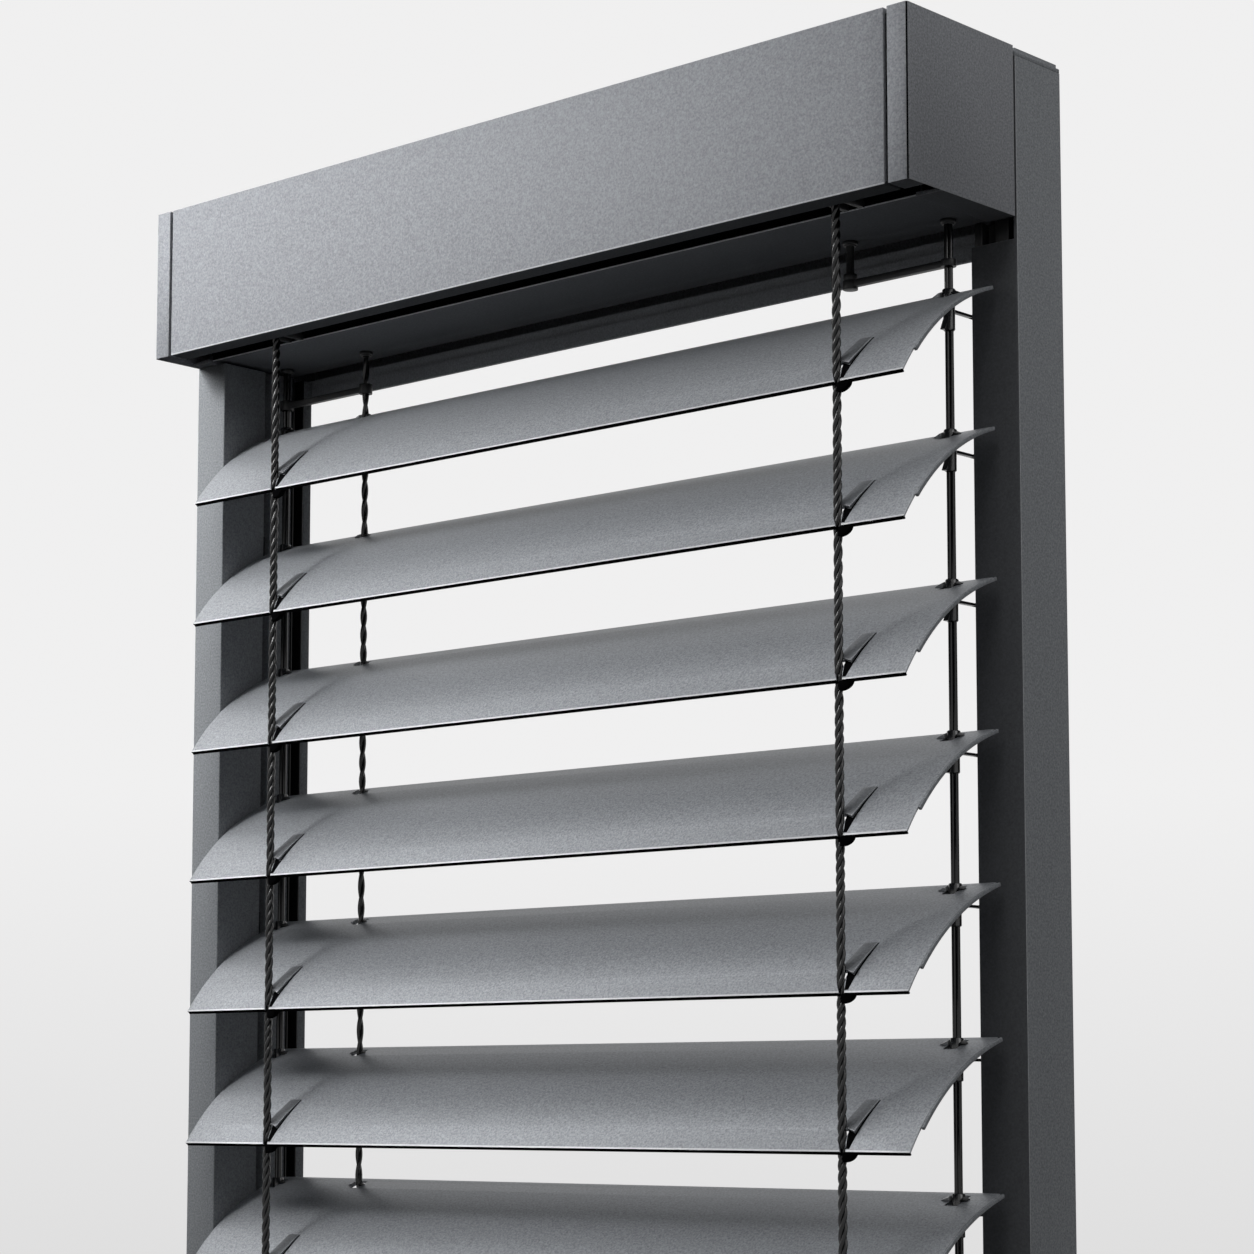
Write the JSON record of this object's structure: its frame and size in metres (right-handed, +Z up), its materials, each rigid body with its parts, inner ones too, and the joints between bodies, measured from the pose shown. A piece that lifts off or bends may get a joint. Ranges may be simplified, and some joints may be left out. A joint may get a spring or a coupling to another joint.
{
  "type": "external venetian blind",
  "caption": "External venetian blind: head box, guide posts and crowned slats that tilt and lift on twisted cords.",
  "frame": {"origin": "middle of the back face of the head box, on the wall plane", "axes": "+Z up along the guide posts, +Y out of the back towards the wall, +X along the slats to the right seen from the front"},
  "size_m": [0.484, 0.112, 0.704],
  "materials": {
    "cover_coat": "aluminium sheet with a fine-grained anthracite powder coat, slightly metallic",
    "cap_coat": "aluminium sheet with a fine-grained anthracite powder coat",
    "profile_coat": "extruded aluminium with a fine-grained anthracite powder coat",
    "slat_coat": "rolled aluminium with a satin anthracite coat and a fine fleck",
    "black_plastic": "satin black",
    "cord": "glossy black sheathed cord",
    "steel": "zinc plated"
  },
  "bodies": {
    "frame": {"front_cover": "cover_coat", "end_cap_left": "cap_coat", "end_cap_right": "cap_coat", "cap_brackets": "black_plastic", "back_rail": "profile_coat", "head_rail": "profile_coat", "rail_brackets": "steel", "bracket_screws": "steel", "motor": "steel", "bearing_blocks": "black_plastic", "cord_rollers": "steel", "roller_brackets": "black_plastic", "cord_collars": "black_plastic", "hanger_rod": "black_plastic", "bridge_bars": "black_plastic", "left_front_post": "profile_coat", "left_guide_rail": "profile_coat", "right_guide_post": "profile_coat", "post_spacers": "black_plastic", "groove_liners": "black_plastic", "post_joint_blocks": "black_plastic", "post_plugs": "black_plastic", "right_post_cap": "profile_coat", "wall_standoffs": "profile_coat", "rear_cord_left": "cord", "rear_cord_inner": "cord", "rear_cord_right": "cord", "carriers_1": "black_plastic"},
    "front_cords": {"front_cord_left": "cord", "front_cord_right": "cord"},
    "lift_shaft": {"drive_shaft": "steel", "lift_spools": "black_plastic"},
    "tilt_drum_pair": {"tilt_drums": "black_plastic"},
    "tilting_slat_1": {"slat_1": "slat_coat", "slat_fittings_1": "black_plastic"},
    "tilting_slat_2": {"slat_2": "slat_coat", "slat_fittings_2": "black_plastic"},
    "tilting_slat_3": {"slat_3": "slat_coat", "slat_fittings_3": "black_plastic"},
    "tilting_slat_4": {"slat_4": "slat_coat", "slat_fittings_4": "black_plastic"},
    "tilting_slat_5": {"slat_5": "slat_coat", "slat_fittings_5": "black_plastic"},
    "tilting_slat_6": {"slat_6": "slat_coat", "slat_fittings_6": "black_plastic"},
    "tilting_slat_7": {"slat_7": "slat_coat", "slat_fittings_7": "black_plastic"},
    "tilting_slat_8": {"slat_8": "slat_coat", "slat_fittings_8": "black_plastic"},
    "lifting_carriers_2": {"carriers_2": "black_plastic"},
    "lifting_carriers_3": {"carriers_3": "black_plastic"},
    "lifting_carriers_4": {"carriers_4": "black_plastic"},
    "lifting_carriers_5": {"carriers_5": "black_plastic"},
    "lifting_carriers_6": {"carriers_6": "black_plastic"},
    "lifting_carriers_7": {"carriers_7": "black_plastic"},
    "lifting_carriers_8": {"carriers_8": "black_plastic"},
    "base_carriers": {"carriers_9": "black_plastic"},
    "base_rail": {"bottom_rail": "slat_coat", "bottom_rail_caps": "black_plastic"}
  },
  "joints": [
    {"name": "lift", "type": "slide", "parent": "frame", "child": "base_carriers", "axis": [0, 0, 1], "range_m": [0, 0.3405], "deforming": ["rear_cord_left", "rear_cord_inner", "rear_cord_right", "front_cord_left", "front_cord_right"]},
    {"name": "lift_2", "type": "slide", "parent": "frame", "child": "lifting_carriers_2", "axis": [0, 0, 1], "range_m": [0, 0.0395]},
    {"name": "lift_3", "type": "slide", "parent": "frame", "child": "lifting_carriers_3", "axis": [0, 0, 1], "range_m": [0, 0.0825]},
    {"name": "lift_4", "type": "slide", "parent": "frame", "child": "lifting_carriers_4", "axis": [0, 0, 1], "range_m": [0, 0.1255]},
    {"name": "lift_5", "type": "slide", "parent": "frame", "child": "lifting_carriers_5", "axis": [0, 0, 1], "range_m": [0, 0.1685]},
    {"name": "lift_6", "type": "slide", "parent": "frame", "child": "lifting_carriers_6", "axis": [0, 0, 1], "range_m": [0, 0.2115]},
    {"name": "lift_7", "type": "slide", "parent": "frame", "child": "lifting_carriers_7", "axis": [0, 0, 1], "range_m": [0, 0.2545]},
    {"name": "lift_8", "type": "slide", "parent": "frame", "child": "lifting_carriers_8", "axis": [0, 0, 1], "range_m": [0, 0.2975]},
    {"name": "tilt", "type": "hinge", "parent": "frame", "child": "tilting_slat_1", "pos_m": [0, -0.046, -0.0705], "axis": [1, 0, 0], "range_deg": [-36.5, 25.5]},
    {"name": "tilt_2", "type": "hinge", "parent": "lifting_carriers_2", "child": "tilting_slat_2", "pos_m": [0, -0.046, -0.1325], "axis": [1, 0, 0], "range_deg": [-36.5, 25.5]},
    {"name": "tilt_3", "type": "hinge", "parent": "lifting_carriers_3", "child": "tilting_slat_3", "pos_m": [0, -0.046, -0.198], "axis": [1, 0, 0], "range_deg": [-36.5, 25.5]},
    {"name": "tilt_4", "type": "hinge", "parent": "lifting_carriers_4", "child": "tilting_slat_4", "pos_m": [0, -0.046, -0.2635], "axis": [1, 0, 0], "range_deg": [-36.5, 25.5]},
    {"name": "tilt_5", "type": "hinge", "parent": "lifting_carriers_5", "child": "tilting_slat_5", "pos_m": [0, -0.046, -0.329], "axis": [1, 0, 0], "range_deg": [-36.5, 25.5]},
    {"name": "tilt_6", "type": "hinge", "parent": "lifting_carriers_6", "child": "tilting_slat_6", "pos_m": [0, -0.046, -0.3945], "axis": [1, 0, 0], "range_deg": [-36.5, 25.5]},
    {"name": "tilt_7", "type": "hinge", "parent": "lifting_carriers_7", "child": "tilting_slat_7", "pos_m": [0, -0.046, -0.46], "axis": [1, 0, 0], "range_deg": [-36.5, 25.5]},
    {"name": "tilt_8", "type": "hinge", "parent": "lifting_carriers_8", "child": "tilting_slat_8", "pos_m": [0, -0.046, -0.5255], "axis": [1, 0, 0], "range_deg": [-36.5, 25.5]},
    {"name": "tilt_base", "type": "hinge", "parent": "base_carriers", "child": "base_rail", "pos_m": [0, -0.046, -0.591], "axis": [1, 0, 0], "range_deg": [-36.5, 25.5]},
    {"name": "cord_swing", "type": "hinge", "parent": "tilting_slat_1", "child": "front_cords", "pos_m": [0, -0.0983, -0.1102], "axis": [1, 0, 0], "range_deg": [-25.5, 36.5]},
    {"name": "shaft_turn", "type": "hinge", "parent": "frame", "child": "lift_shaft", "pos_m": [0, -0.0585, -0.0109], "axis": [1, 0, 0], "range_deg": [0, 1561]},
    {"name": "tilt_drum_turn", "type": "hinge", "parent": "frame", "child": "tilt_drum_pair", "pos_m": [0, -0.0585, -0.0109], "axis": [1, 0, 0], "range_deg": [-118, 168]}
  ],
  "couplings": [
    {"joint": "lift_2", "follows": "lift", "ratio": 0.11601},
    {"joint": "lift_3", "follows": "lift", "ratio": 0.24229},
    {"joint": "lift_4", "follows": "lift", "ratio": 0.36858},
    {"joint": "lift_5", "follows": "lift", "ratio": 0.49486},
    {"joint": "lift_6", "follows": "lift", "ratio": 0.62115},
    {"joint": "lift_7", "follows": "lift", "ratio": 0.74743},
    {"joint": "lift_8", "follows": "lift", "ratio": 0.87372},
    {"joint": "tilt_2", "follows": "tilt", "ratio": 1},
    {"joint": "tilt_3", "follows": "tilt", "ratio": 1},
    {"joint": "tilt_4", "follows": "tilt", "ratio": 1},
    {"joint": "tilt_5", "follows": "tilt", "ratio": 1},
    {"joint": "tilt_6", "follows": "tilt", "ratio": 1},
    {"joint": "tilt_7", "follows": "tilt", "ratio": 1},
    {"joint": "tilt_8", "follows": "tilt", "ratio": 1},
    {"joint": "tilt_base", "follows": "tilt", "ratio": 1},
    {"joint": "cord_swing", "follows": "tilt", "ratio": -1},
    {"joint": "shaft_turn", "follows": "lift", "rad_per_m": 80},
    {"joint": "tilt_drum_turn", "follows": "tilt", "ratio": -4.6}
  ]
}
